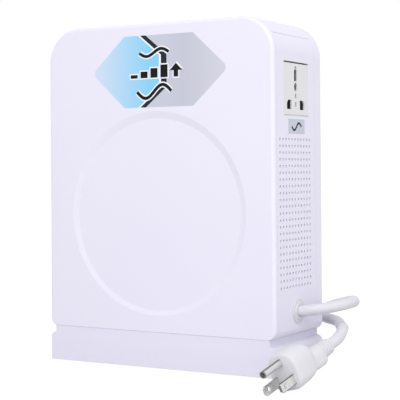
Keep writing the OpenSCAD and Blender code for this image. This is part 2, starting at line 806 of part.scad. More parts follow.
module base_stand() {
    inner_x = neck_x - stand_wall;
    inner_y = neck_y - stand_wall;
    wide_x = side_x - stand_wall;
    wide_y = rear_y - stand_wall;
    color(shell_white) difference() {
        union() {
            difference() {
                intersection() {
                    slab(front_y - past, rear_y + past) stand_front();
                    side_slab(-side_x - past, side_x + past) stand_side();
                    translate([0, 0, stand_low - past])
                        linear_extrude(body_z - stand_low + 2 * past) stand_plan();
                }
                translate([-inner_x, -inner_y, stand_low - past])
                    cube([2 * inner_x, 2 * inner_y, cavity_top - stand_low + past]);
                translate([-wide_x, -wide_y, stand_low - past])
                    cube([2 * wide_x, 2 * wide_y, cavity_mid - stand_low + past]);
            }
            for (p = plate_bolts) bar_z(p, plate_top, cavity_top + sink, plate_post_d);
        }
        for (p = stand_bolts) bar_z(p, cavity_top - past, body_z + past, screw_d + 2 * fit);
        for (p = plate_bolts)
            bar_z(p, plate_top - past, plate_top + plate_screw_l + past, plate_screw_d + 2 * fit);
    }
}
module base_plate() {
    half_x = side_x - stand_wall - plate_gap;
    half_y = rear_y - stand_wall - plate_gap;
    color(shell_white) difference() {
        translate([-half_x, -half_y, stand_low]) cube([2 * half_x, 2 * half_y, plate_t]);
        for (p = feet) bar_z(p, stand_low - past, foot_t, foot_d + 2 * fit);
        for (p = plate_bolts) {
            bar_z(p, stand_low - past, plate_top + past, plate_screw_d + 2 * fit);
            bar_z(p, stand_low - past, stand_low + plate_head_h + head_gap, plate_head_d + 2 * head_gap);
        }
    }
}
module rubber_feet() {
    color(rubber_grey) for (p = feet) bar_z(p, 0, foot_t, foot_d);
}

// Screw with its head above the seat and its shank below it, with a cross recess
module screw(d, l, hd, hh) {
    difference() {
        union() {
            cylinder(d = hd, h = hh);
            translate([0, 0, -l]) cylinder(d = d, h = l + sink);
        }
        for (a = [0, 90]) rotate([0, 0, a]) translate([-hd / 4, -hd / 14, hh / 2]) cube([hd / 2, hd / 7, hh]);
    }
}
module cover_screws() {
    color(steel) for (p = posts)
        translate([p[0], head_seat, p[1]]) rotate([-90, 0, 0]) screw(screw_d, cover_screw_l, head_d, head_h);
}
module stand_screws() {
    color(steel) for (p = stand_bolts)
        translate([p[0], p[1], cavity_top]) rotate([180, 0, 0]) screw(screw_d, stand_screw_l, head_d, head_h);
}
module base_plate_screws() {
    color(steel) for (p = plate_bolts)
        translate([p[0], p[1], stand_low + plate_head_h + head_gap]) rotate([180, 0, 0])
            screw(plate_screw_d, plate_screw_l, plate_head_d, plate_head_h);
}

module front_label() {
    color(label_blue) label_plate(front_y, front_y + label_t);
}
module output_label() {
    color(outlet_grey) side_slab(side_x - label_t, side_x) out_label_outline();
}

// Holes in the outlet's face
module lens_hole() {
    big = (lens_h * lens_h / (2 * lens_w) + lens_w / 2) / 2;
    intersection() {
        translate([big - lens_w / 2, 0]) circle(big);
        translate([lens_w / 2 - big, 0]) circle(big);
    }
}
module pole_hole() {
    polygon([
        [-pole_w / 2, -pole_h / 2], [pole_w / 2, -pole_h / 2], [pole_w / 2, pole_h / 2 - pole_cut],
        [pole_w / 2 - pole_cut, pole_h / 2], [-pole_w / 2, pole_h / 2]
    ]);
}
module socket_holes() {
    translate([live_y, pole_z]) pole_hole();
    translate([neutral_y, pole_z]) mirror([1, 0]) pole_hole();
    centred([socket_y, earth_z], [earth_w, earth_h]);
    translate([socket_y - key_w / 2, earth_z]) square([key_w, earth_h / 2 + key_h]);
    translate([socket_y, lens_z]) lens_hole();
    for (z = slot_zs) centred([socket_y, z], [slot_w, slot_h]);
}
module face_outline() {
    difference() {
        centred([socket_y, socket_z], [face_w, face_h]);
        socket_holes();
    }
}
module socket_face() {
    color(outlet_grey) side_slab(face_split, face_x) face_outline();
}
module socket_insert() {
    color(housing_grey) side_slab(face_back, face_split) face_outline();
}

// Room for a contact, and the contact in it
module contact_pocket(y, span) {
    half = contact_w / 2 + 2 * fit;
    translate([cavity_x, y - half, span[0] - contact_room])
        cube([housing_l, 2 * half, span[1] - span[0] + 2 * contact_room]);
    translate([cavity_x, y - tail_w / 2 - fit, face_low - past])
        cube([leaf_t + fit, tail_w + 2 * fit, span[0] - face_low + past]);
}
module contact(y, span) {
    low = span[0] - contact_room + fit;
    high = span[1] + contact_room - fit;
    for (s = [0, 1])
        translate([cavity_x, y - contact_w / 2 + s * (leaf_gap + leaf_t), low])
            cube([leaf_l, leaf_t, high - low]);
    translate([cavity_x, y - contact_w / 2, low]) cube([leaf_t, contact_w, high - low]);
    translate([cavity_x, y - tail_w / 2, tail_z]) cube([leaf_t, tail_w, low + sink - tail_z]);
}
module socket_housing() {
    color(housing_grey) difference() {
        union() {
            side_slab(box_back, face_back) centred([socket_y, socket_z], [face_w, face_h]);
            for (z = [face_low - slit - ear_reach, face_high - sink])
                translate([side_in - ear_t, socket_y - ear_w / 2, z])
                    cube([face_back - side_in + ear_t, ear_w, slit + ear_reach + sink]);
            for (z = [face_low - slit - ear_reach, face_high])
                translate([face_back - sink, socket_y - ear_w / 2, z])
                    cube([side_in - face_back + sink, ear_w, slit + ear_reach]);
        }
        contact_pocket(live_y, pole_span);
        contact_pocket(neutral_y, pole_span);
        contact_pocket(socket_y, earth_span);
    }
}
module live_contact() {
    color(brass) contact(live_y, pole_span);
}
module neutral_contact() {
    color(brass) contact(neutral_y, pole_span);
}
module earth_contact() {
    color(brass) contact(socket_y, earth_span);
}

module cable_gland() {
    at = [socket_y, gland_z];
    color(cord_white) difference() {
        union() {
            bar_x(at, side_x, side_x + gland_t, gland_d);
            bar_x(at, side_x, side_x + gland_t + collar_l, collar_d);
            bar_x(at, side_x - neck_l, side_x + sink, neck_d);
        }
        bar_x(at, side_x - neck_l - past, side_x + gland_t + collar_l + past, cord_d + 2 * fit);
    }
}
module gland_nut() {
    at = [socket_y, gland_z];
    color(shell_white) difference() {
        translate([side_in - nut_t, at[0], at[1]]) rotate([0, 90, 0])
            cylinder(d = nut_w / cos(30), h = nut_t, $fn = 6);
        bar_x(at, side_in - nut_t - past, side_in + past, neck_d + 2 * fit);
    }
}

// Ring transformer, turned about an axis along the depth
module about_axis() {
    translate([0, stack_mid, disc_z]) rotate([90, 0, 0]) rotate_extrude() children();
}
module round_block(r0, r1, len, round_r) {
    translate([r0 + round_r, -len / 2]) square([r1 - r0 - 2 * round_r, len]);
    translate([r0, -len / 2 + round_r]) square([r1 - r0, len - 2 * round_r]);
    for (r = [r0 + round_r, r1 - round_r], z = [-len / 2 + round_r, len / 2 - round_r])
        translate([r, z]) circle(round_r);
}
module block_2d(r0, r1, len) {
    translate([r0, -len / 2]) square([r1 - r0, len]);
}
module toroid_core() {
    color(steel) about_axis() block_2d(core_id / 2, core_od / 2, core_len);
}
module winding() {
    color(copper) difference() {
        about_axis() difference() {
            round_block(coil_id / 2, coil_od / 2, coil_len, coil_round);
            block_2d(core_id / 2 - core_gap, core_od / 2 + core_gap, core_len + 2 * core_gap);
        }
        translate([-lead_slot / 2, block_y0, disc_z - coil_od / 2 - past])
            cube([lead_slot, block_w, coil_wall + 2 * past]);
    }
}
module pad(y0) {
    difference() {
        bar_y([0, disc_z], y0, y0 + pad_t, pad_d);
        bar_y([0, disc_z], y0 - past, y0 + pad_t + past, centre_d + 2 * fit);
    }
}
module front_pad() {
    color(rubber_grey) pad(clamp_back);
}
module rear_pad() {
    color(rubber_grey) pad(stack_rear);
}
module clamp_plate() {
    color(steel) difference() {
        bar_y([0, disc_z], clamp_front, clamp_back, clamp_d);
        bar_y([0, disc_z], clamp_front - past, clamp_back + past, bolt_d + 2 * fit);
    }
}
module centre_bolt() {
    color(steel) {
        bar_y([0, disc_z], clamp_front - sink, clamp_front + bolt_l, bolt_d);
        translate([0, clamp_front, disc_z]) rotate([90, 0, 0])
            cylinder(d = bolt_head / cos(30), h = bolt_head_h, $fn = 6);
    }
}
module bolt_insert() {
    color(brass) difference() {
        bar_y([0, disc_z], centre_front, centre_front + insert_l, insert_d);
        bar_y([0, disc_z], centre_front - past, centre_front + insert_l + past, bolt_d + 2 * fit);
    }
}
module thermal_cutout() {
    color(rubber_grey) translate([-cutout_l / 2, stack_mid - cutout_w / 2, disc_z + coil_od / 2 + fit])
        difference() {
            cube([cutout_l, cutout_w, cutout_t]);
            translate([-past, -past, cutout_t / 2])
                cube([cutout_l / 5 + past, cutout_w + 2 * past, cutout_t]);
        }
}

// Wiring
module terminal_block() {
    color(outlet_grey) difference() {
        translate([block_x0, block_y0, floor_in]) cube([block_l, block_w, block_h]);
        for (y = block_poles) {
            bar_x([y, winding_lead_z], block_x0 - past, block_x0 + lead_in + fit, lead_bore);
            bar_x([y, gland_z], block_x1 - lead_in - fit, block_x1 + past, lead_bore);
            bar_z([block_x, y], block_top - lead_in - fit, block_top + past, lead_bore);
        }
    }
}
module lead(path) {
    tube(path, lead_d, lead_sides, [0, 1, 0]);
}
module supply_leads() {
    color(copper) for (k = [0:2]) {
        from = socket_y + (k - 1) * core_dy;
        to = block_poles[k];
        lead([
            [jacket_x, from, gland_z], [jacket_x - lead_bend / 2, from, gland_z],
            [block_x1 + lead_bend, to, gland_z], [block_x1 - lead_in, to, gland_z]
        ]);
    }
}
module output_leads() {
    ends = [[block_poles[0], neutral_y], [block_poles[1], socket_y], [block_poles[3], live_y]];
    color(copper) for (e = ends) lead([
        [block_x, e[0], block_top - lead_in], [block_x, e[0], output_lead_z - lead_bend],
        [block_x + lead_bend, e[0], output_lead_z], [output_lead_x - lead_bend, e[0], output_lead_z],
        [output_lead_x, e[0], output_lead_z + lead_bend], [output_lead_x, e[1], tail_z - 6 * lead_bend],
        [tail_x, e[1], tail_z - 2 * lead_bend], [tail_x, e[1], tail_z]
    ]);
}
module winding_leads() {
    top = disc_z - core_od / 2 - core_gap - fit;
    color(copper) for (k = [0, 2, 3]) lead([
        [0, block_poles[k], top], [0, block_poles[k], winding_lead_z + lead_bend],
        [lead_bend, block_poles[k], winding_lead_z], [block_x0 + lead_in, block_poles[k], winding_lead_z]
    ]);
}

// Mains lead, coil and tie
module cord_run_out() {
    color(cord_white) tube(concat(route_out, [wind_first]), cord_d, out_sides, [0, 0, 1]);
}
module cord_coil() {
    color(cord_white) tube(wind_path, cord_d, wind_sides, [0, 0, 1]);
}
module cord_run_plug() {
    rear = on_plug([0, relief_end, cord_rise]);
    behind = on_plug([0, relief_end + 12, cord_rise]);
    color(cord_white) tube(concat([wind_last], route_plug, [behind, rear]), cord_d, out_sides, [0, 0, 1]);
}
module coil_tie() {
    reach = cord_d / 2 + tie_gap;
    low_r0 = wind_in - wind_pitch * wind_climb / 2 - reach;
    high_r0 = wind_out + wind_pitch * wind_climb / 2 + reach;
    high_z = wind_z + wind_pitch * (wind_layers - 1) + reach;
    color(rubber_grey) translate([wind_at[0], wind_at[1], 0]) rotate([0, 0, tie_angle])
        slab(-tie_w / 2, tie_w / 2) difference() {
            translate([low_r0 - tie_t, 0]) square([high_r0 - low_r0 + 2 * tie_t, high_z + tie_t]);
            translate([low_r0, tie_t]) square([high_r0 - low_r0, high_z - tie_t]);
        }
}

// Plug, drawn with its pins towards -Y and its face at zero
function tapered(low, high, y0, y1, in0, l0, in1, l1) = [
    [y0, low + in0], [y0 + l0, low], [y1 - l1, low], [y1, low + in1],
    [y1, high - in1], [y1 - l1, high], [y0 + l0, high], [y0, high - in0]
];
module rounded(w, low, high, r, top) {
    translate([-w / 2 + top, low + r]) square([w - 2 * top, high - low - r]);
    translate([-w / 2 + r, low]) square([w - 2 * r, r + sink]);
    translate([-w / 2, low + r]) square([w, high - low - r - top]);
    for (s = [-1, 1]) {
        translate([s * (w / 2 - r), low + r]) circle(r);
        translate([s * (w / 2 - top), high - top]) circle(top);
    }
}
module tapered_block(w, low, high, r, top, y0, y1, in0, l0, in1, l1) {
    intersection() {
        slab(y0, y1) rounded(w, low, high, r, top);
        side_slab(-w, w) polygon(tapered(low, high, y0, y1, in0, l0, in1, l1));
        translate([0, 0, low - past]) linear_extrude(high - low + 2 * past)
            polygon([for (q = tapered(-w / 2, w / 2, y0, y1, in0, l0, in1, l1)) [q[1], q[0]]]);
    }
}
module relief() {
    step = relief_l / (relief_ribs + 0.5);
    translate([0, relief_start - sink, cord_rise]) rotate([-90, 0, 0])
        cylinder(d1 = relief_d, d2 = relief_end_d, h = relief_l + sink);
    for (k = [0:relief_ribs - 1]) {
        at = relief_start + (k + 0.5) * step;
        d = relief_d + (relief_end_d - relief_d) * (k + 0.75) / (relief_ribs + 0.5) + 2 * rib_h;
        bar_y([0, cord_rise], at, at + step / 2, d);
    }
}
module plug_body() {
    color(cord_white) plug_pose() difference() {
        union() {
            tapered_block(plug_w, -plug_low, plug_high, plug_r, plug_top_r, 0, flange_l,
                flange_edge, flange_edge, flange_in, flange_slope);
            tapered_block(grip_w, grip_rise - grip_h / 2, grip_rise + grip_h / 2, grip_r, grip_r,
                flange_l - past, relief_start, waist_in, grip_l / 4, waist_in, grip_l / 8);
            relief();
        }
        for (s = [-1, 1])
            translate([s * blade_pitch / 2 - blade_t / 2 - fit, -past, -blade_w / 2 - fit])
                cube([blade_t + 2 * fit, root_l + past + fit, blade_w + 2 * fit]);
        bar_y([0, pin_rise], -past, root_l + fit, pin_d + 2 * fit);
    }
}
module blade(side) {
    tip = blade_w / 4;
    at = side * blade_pitch / 2;
    plug_pose() side_slab(at - blade_t / 2, at + blade_t / 2) difference() {
        polygon([
            [root_l, -blade_w / 2], [root_l, blade_w / 2], [-blade_l + tip, blade_w / 2],
            [-blade_l, blade_w / 2 - tip], [-blade_l, tip - blade_w / 2], [-blade_l + tip, -blade_w / 2]
        ]);
        translate([-blade_hole_at, 0]) circle(d = blade_hole);
    }
}
module live_blade() {
    color(nickel) blade(1);
}
module neutral_blade() {
    color(nickel) blade(-1);
}
module earth_pin() {
    color(nickel) plug_pose() difference() {
        bar_y([0, pin_rise], -pin_l, root_l, pin_d);
        bar_y([0, pin_rise], -pin_l - past, -pin_l + pin_bore_l, pin_bore);
    }
}

front_cover();
rear_cover();
right_panel();
left_panel();
top_panel();
floor_panel();
base_stand();
base_plate();
rubber_feet();
cover_screws();
stand_screws();
base_plate_screws();
front_label();
output_label();
socket_face();
socket_insert();
socket_housing();
live_contact();
neutral_contact();
earth_contact();
cable_gland();
gland_nut();
toroid_core();
winding();
front_pad();
rear_pad();
clamp_plate();
centre_bolt();
bolt_insert();
thermal_cutout();
terminal_block();
supply_leads();
output_leads();
winding_leads();
cord_run_out();
cord_coil();
cord_run_plug();
coil_tie();
plug_body();
live_blade();
neutral_blade();
earth_pin();
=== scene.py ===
import json
import math
import bpy
import bmesh
from mathutils import Matrix, Vector


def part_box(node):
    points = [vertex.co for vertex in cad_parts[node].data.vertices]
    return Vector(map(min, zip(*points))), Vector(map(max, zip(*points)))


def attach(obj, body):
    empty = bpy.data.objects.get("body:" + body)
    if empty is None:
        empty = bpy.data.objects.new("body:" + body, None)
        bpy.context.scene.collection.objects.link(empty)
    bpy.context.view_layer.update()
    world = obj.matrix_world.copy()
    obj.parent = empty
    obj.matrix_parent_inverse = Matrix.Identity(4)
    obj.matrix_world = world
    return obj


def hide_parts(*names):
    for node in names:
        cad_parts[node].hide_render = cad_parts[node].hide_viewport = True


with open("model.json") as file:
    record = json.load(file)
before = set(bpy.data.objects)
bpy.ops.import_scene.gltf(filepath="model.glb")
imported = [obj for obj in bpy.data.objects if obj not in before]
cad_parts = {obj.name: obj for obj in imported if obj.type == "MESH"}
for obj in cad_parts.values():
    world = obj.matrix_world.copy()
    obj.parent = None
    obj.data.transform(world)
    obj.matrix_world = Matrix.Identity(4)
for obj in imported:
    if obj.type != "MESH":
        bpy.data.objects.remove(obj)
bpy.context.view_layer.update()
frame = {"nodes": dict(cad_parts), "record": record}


# Places that several pieces share, in millimetres

MM = 0.001
FRONT_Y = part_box("front_cover")[0][1] / MM
SIDE_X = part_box("right_panel")[1][0] / MM
SIDE_Y = -3.3
BODY_Z = 26.0
RECESS_Z = 110.4
LABEL_Z = 213.3


def at(x, y, z):
    """A point given in millimetres."""
    return Vector((x, y, z)) * MM


def turned(degrees, axis):
    """A turn about one axis."""
    return Matrix.Rotation(math.radians(degrees), 4, axis)


def put(name, data):
    """A new object in the scene."""
    made = bpy.data.objects.new(name, data)
    bpy.context.scene.collection.objects.link(made)
    return made


# Camera at the photograph's viewing angle

CAMERA_AT = (467.8, -770.2, 144.3)
CAMERA_TURN = turned(30.494, "Z") @ turned(90.984, "X")
CAMERA_ROLL = turned(-0.407, "Z")


def stand_camera():
    """Its place, turn and lens were fitted to the body's straight edges in the photograph."""
    data = bpy.data.cameras.new("photo_camera")
    data.sensor_width = 36
    data.lens = 108.99
    data.shift_y = -0.13505
    data.clip_end = 20
    camera = put("photo_camera", data)
    camera.matrix_world = Matrix.Translation(at(*CAMERA_AT)) @ CAMERA_TURN @ CAMERA_ROLL
    bpy.context.scene.camera = camera


stand_camera()


# Route of the mains lead, in millimetres, as in the part's source

CORD_D = 7.8
CORD_RISE = 1.8
GLAND = (SIDE_Y, 43)
PLUG_AT = Vector((123.5, -80, 8.6))
PLUG_TURN = turned(-5.5, "Z") @ turned(14, "X") @ turned(-15, "Y")
RELIEF_END = 56.5
RELIEF_LEAD = 12

COIL_TURNS = 4.625
COIL_LAYERS = 4
COIL_CLIMB = 0.5
COIL_STEPS = 24
COIL_PITCH = CORD_D + 0.6
COIL_R = 40
COIL_X, COIL_Y, COIL_Z = 0, 92, 1.5 + CORD_D / 2

TO_COIL = [
    (83, *GLAND), (90, *GLAND), (96, *GLAND), (109.5, 0.5, 44.6), (119.5, 10.5, 46.4), (123, 24, 47.4),
    (119.5, 38, 47), (109.5, 48, 45), (96, 51.7, 41), (82, 51.5, 35), (68, 50.2, 25.5), (55, 49.2, 14.5),
    (42, 48.7, 8), (28, 48.7, 5.4), (CORD_D, 48.7, 5.4),
]
TO_PLUG = [(60, 94, 30.5), (83, 69.5, 29.5), (95.2, 59.7, 29.2), (114.9, 25.7, 29.7), (124.6, 6.2, 31.1)]


def coil_points():
    """Four layers that spiral in and out and climb in the half turn between two layers."""
    flat = (COIL_TURNS - COIL_CLIMB * (COIL_LAYERS - 1)) / COIL_LAYERS
    outer = COIL_R + flat * COIL_PITCH / 2
    inner = COIL_R - flat * COIL_PITCH / 2
    rings = math.ceil(COIL_TURNS * COIL_STEPS)
    points = []
    for i in range(rings + 1):
        u = COIL_TURNS * i / rings
        layer = min(int(u / (flat + COIL_CLIMB)), COIL_LAYERS - 1)
        into = u - layer * (flat + COIL_CLIMB)
        past = max(into - flat, 0)
        shift = COIL_PITCH * (min(into, flat) + min(past, COIL_CLIMB - past))
        r = outer - shift if layer % 2 == 0 else inner + shift
        a = math.radians(-90 - 360 * u)
        z = COIL_Z + COIL_PITCH * (layer + past / COIL_CLIMB)
        points.append(Vector((COIL_X + r * math.cos(a), COIL_Y + r * math.sin(a), z)))
    return points


def on_plug(x, y, z):
    """A point given along the plug's own axes."""
    return PLUG_AT + PLUG_TURN @ Vector((x, y, z))


def cord_route():
    """Out of the gland, round behind the body, through the coil and on to the plug's strain relief."""
    coil = coil_points()
    leave = coil[-1] + CORD_D * Vector((math.sqrt(0.5), -math.sqrt(0.5), 0))
    ends = [on_plug(0, RELIEF_END + RELIEF_LEAD, CORD_RISE), on_plug(0, RELIEF_END, CORD_RISE)]
    return [Vector(p) for p in TO_COIL] + coil + [leave] + [Vector(p) for p in TO_PLUG] + ends


def mains_lead():
    """One smooth curve along the route, as thick as the lead."""
    data = bpy.data.curves.new("mains_lead", "CURVE")
    data.dimensions = "3D"
    data.bevel_depth = CORD_D / 2 * MM
    data.bevel_resolution = 5
    data.use_fill_caps = True
    route = cord_route()
    spline = data.splines.new("BEZIER")
    spline.bezier_points.add(len(route) - 1)
    spline.resolution_u = 8
    for knot, point in zip(spline.bezier_points, route):
        knot.co = point * MM
        knot.handle_left_type = "AUTO"
        knot.handle_right_type = "AUTO"
    return put("mains_lead", data)


lead = mains_lead()


# Nodes of the finishes and the world

MIX_FACTOR, MIX_FIRST, MIX_SECOND = 0, 6, 7
MIX_RESULT = 2
WHITE = (1, 1, 1, 1)


class Wire:
    """A socket of some nodes. Arithmetic on it adds Math nodes."""

    def __init__(self, nodes, socket):
        self.nodes = nodes
        self.socket = socket

    def out(self, name):
        """Another output of the same node."""
        return Wire(self.nodes, self.socket.node.outputs[name])

    def maths(self, operation, first, second):
        return self.nodes.node("ShaderNodeMath", {"operation": operation}, {0: first, 1: second})

    def __add__(self, other):
        return self.maths("ADD", self, other)

    def __radd__(self, other):
        return self.maths("ADD", other, self)

    def __sub__(self, other):
        return self.maths("SUBTRACT", self, other)

    def __rsub__(self, other):
        return self.maths("SUBTRACT", other, self)

    def __mul__(self, other):
        return self.maths("MULTIPLY", self, other)

    def __rmul__(self, other):
        return self.maths("MULTIPLY", other, self)

    def __truediv__(self, other):
        return self.maths("DIVIDE", self, other)

    def __gt__(self, other):
        return self.maths("GREATER_THAN", self, other)

    def __lt__(self, other):
        return self.maths("LESS_THAN", self, other)

    def __abs__(self):
        return self.maths("ABSOLUTE", self, 0)

    def least(self, other):
        return self.maths("MINIMUM", self, other)

    def most(self, other):
        return self.maths("MAXIMUM", self, other)


class Nodes:
    """The nodes of a material or a world."""

    def __init__(self, holder):
        holder.use_nodes = True
        self.tree = holder.node_tree
        self.tree.nodes.clear()

    def node(self, kind, settings=None, sockets=None):
        """Any node, with its settings first and then the values or links of its sockets."""
        made = self.tree.nodes.new(kind)
        for key, value in (settings or {}).items():
            if key == "stops":
                while len(made.color_ramp.elements) < len(value):
                    made.color_ramp.elements.new(0.5)
                for stop, (where, colour) in zip(made.color_ramp.elements, value):
                    stop.position = where
                    stop.color = (*colour, 1)
            else:
                setattr(made, key, value)
        for key, value in (sockets or {}).items():
            if isinstance(value, Wire):
                self.tree.links.new(value.socket, made.inputs[key])
            else:
                made.inputs[key].default_value = value
        return Wire(self, made.outputs[0]) if made.outputs else None

    def looked_at(self):
        """One for the camera's rays, reflections and clear pieces, nought for other light."""
        path = self.node("ShaderNodeLightPath")
        return path.out("Is Camera Ray").most(path.out("Is Glossy Ray")).most(path.out("Is Transmission Ray"))


class Finish(Nodes):
    """The nodes of one material, whose patterns lie on Object coordinates."""

    def __init__(self, name):
        self.material = bpy.data.materials.new(name)
        super().__init__(self.material)
        self.place = self.node("ShaderNodeTexCoord").out("Object")

    def along(self, axis, place=None):
        """One coordinate in millimetres."""
        return self.node("ShaderNodeSeparateXYZ", None, {0: place or self.place}).out(axis) / MM

    def noise(self, scale, detail, place=None):
        return self.node(
            "ShaderNodeTexNoise", None, {"Vector": place or self.place, "Scale": scale, "Detail": detail},
        )

    def stretched(self, scale):
        """Coordinates on which a pattern is drawn out along the axis with the smallest scale."""
        return self.node("ShaderNodeMapping", None, {"Vector": self.place, "Scale": scale})

    def blend(self, amount, first, second):
        """The first colour where amount is nought and the second where it is one."""
        sides = [side if isinstance(side, Wire) else (*side, 1) for side in (first, second)]
        sockets = {MIX_FACTOR: amount, MIX_FIRST: sides[0], MIX_SECOND: sides[1]}
        mix = self.node("ShaderNodeMix", {"data_type": "RGBA"}, sockets)
        return Wire(self, mix.socket.node.outputs[MIX_RESULT])

    def ramp(self, amount, stops):
        return self.node("ShaderNodeValToRGB", {"stops": stops}, {"Fac": amount})

    def bump(self, height, depth, strength):
        """A relief of this depth in millimetres."""
        sockets = {"Height": height, "Distance": depth * MM, "Strength": strength}
        return self.node("ShaderNodeBump", None, sockets)

    def close(self, colour, roughness, normal=None, **constant):
        """Ends the nodes in one shader. A constant goes straight onto the socket of its name."""
        sockets = {"Base Color": colour, "Roughness": roughness}
        if normal is not None:
            sockets["Normal"] = normal
        for key, value in constant.items():
            sockets[key.replace("_", " ")] = value
        shader = self.node("ShaderNodeBsdfPrincipled", None, sockets)
        self.node("ShaderNodeOutputMaterial", None, {"Surface": shader})
        return self.material


# Finishes

BLADE_W, BLADE_L = 6.35, 17
PIN_D, PIN_L, PIN_RISE = 4.75, 20.5, 11.9
# Painted shade on the plug's metal: its width at the blades' edges and tips, where it starts on the earth
# pin's sides, how dark it is, and its lesser share on the neutral blade.
EDGE_SHADE_BAND, TIP_SHADE_BAND, PIN_SHADE_FROM = 0.45, 0.6, 0.39 * PIN_D
PAINTED_SHADE, NEUTRAL_BLADE_SHADE = 0.85, 0.35

LABEL_H = 52
BAND_END, BAND_SHIFT, BAND_SLANT = -10.5, 17.75, 14.5
BAND_HALF = 2.4
LINE_FROM, LINE_TO = -4.0, -2.2
SKY_FROM, SKY_OVER = -56, 60
GREY_FROM, GREY_OVER = -10, 66


def patchy(name, patches, dark, light, rough, grain=None, **constant):
    """A finish whose colour, roughness and fine relief each follow a noise of their own.

    patches is the colour's scale and detail, rough the lowest roughness, its spread, scale and detail,
    and grain the relief's scale, detail, depth in millimetres and strength.
    """
    f = Finish(name)
    colour = f.blend(f.noise(*patches), dark, light)
    lowest, spread, *dull = rough
    normal = None
    if grain:
        scale, detail, depth, strength = grain
        normal = f.bump(f.noise(scale, detail), depth, strength)
    return f.close(colour, lowest + spread * f.noise(*dull), normal, **constant)


def shell_plastic():
    """White with a cool cast. The stand is a shade darker than the body above it."""
    f = Finish("white_shell_plastic")
    body = f.blend(f.noise(14, 2), (0.800, 0.782, 0.905), (0.826, 0.808, 0.926))
    colour = f.blend(f.along("Z") < BODY_Z, body, (0.770, 0.756, 0.880))
    return f.close(colour, 0.42 + 0.10 * f.noise(60, 3), f.bump(f.noise(2400, 2), depth=0.02, strength=0.25))


def nickel_plate():
    """Drawn along the pins, with painted shade and dark reflections at the blades' edges, the tips and the
    earth pin's upper and lower sides.
    """
    f = Finish("nickel_plate")
    drawn = f.noise(60, 4, f.stretched((8, 1, 8)))
    bright = f.blend(drawn, (0.62, 0.62, 0.615), (0.74, 0.74, 0.735))
    in_plug = f.node(
        "ShaderNodeMapping", {"vector_type": "TEXTURE"},
        {"Vector": f.place, "Location": PLUG_AT * MM, "Rotation": PLUG_TURN.to_euler()},
    )
    x, y, z = [f.along(axis, in_plug) for axis in "XYZ"]
    on_pin = z > PIN_RISE / 2
    # Masks of painted shade and dark reflection at the blades' edges and tips and on the earth pin's upper
    # and lower sides.
    blade_edge = (abs(z) > BLADE_W / 2 - EDGE_SHADE_BAND).most(y < TIP_SHADE_BAND - BLADE_L)
    blade_shade = blade_edge * (1 - on_pin) * (x > 0).most(NEUTRAL_BLADE_SHADE)
    pin_shade = (abs(z - PIN_RISE) > PIN_SHADE_FROM).most(y < TIP_SHADE_BAND - PIN_L) * on_pin
    colour = f.blend(PAINTED_SHADE * blade_shade.most(pin_shade), bright, (0.10, 0.10, 0.105))
    return f.close(colour, 0.20 + 0.16 * drawn, f.bump(drawn, depth=0.01, strength=0.2), Metallic=0.7)


def copper_wire():
    """Enamelled turns that lie in rings about the transformer's axis."""
    f = Finish("enamelled_copper_wire")
    turns = f.node(
        "ShaderNodeTexWave", {"wave_type": "RINGS", "rings_direction": "Y", "wave_profile": "SIN"},
        {"Vector": f.place, "Scale": 160.0, "Distortion": 0.4, "Detail": 1.0},
    ).out("Fac")
    colour = f.blend(turns, (0.30, 0.10, 0.035), (0.60, 0.25, 0.10))
    return f.close(colour, 0.28 + 0.15 * turns, f.bump(turns, depth=0.4, strength=0.6), Metallic=0.6)


def label_film():
    """Sky blue to the left, silver grey to the right, with a bent navy band and a thin white line between."""
    f = Finish("printed_label_film")
    x, z = f.along("X"), f.along("Z")
    bend = ((LABEL_H / 2 - abs(z - LABEL_Z)) / BAND_SLANT).least(1).most(0)
    across = x - (BAND_SHIFT * bend + BAND_END)
    sky = f.ramp(
        (x - SKY_FROM) / SKY_OVER,
        [(0.0, (0.66, 0.74, 0.88)), (0.3, (0.52, 0.70, 0.88)), (0.85, (0.25, 0.62, 0.89))],
    )
    grey = f.ramp(
        (x - GREY_FROM) / GREY_OVER,
        [(0.0, (0.58, 0.61, 0.70)), (0.5, (0.545, 0.555, 0.65)), (1.0, (0.62, 0.63, 0.72))],
    )
    base = f.blend(across > 0, sky, grey)
    lined = f.blend((across > LINE_FROM) * (across < LINE_TO), base, (0.92, 0.94, 0.97))
    banded = f.blend(abs(across) < BAND_HALF, lined, (0.014, 0.017, 0.028))
    return f.close(banded, 0.36 + 0.1 * f.noise(200, 3), Specular_IOR_Level=0.2)


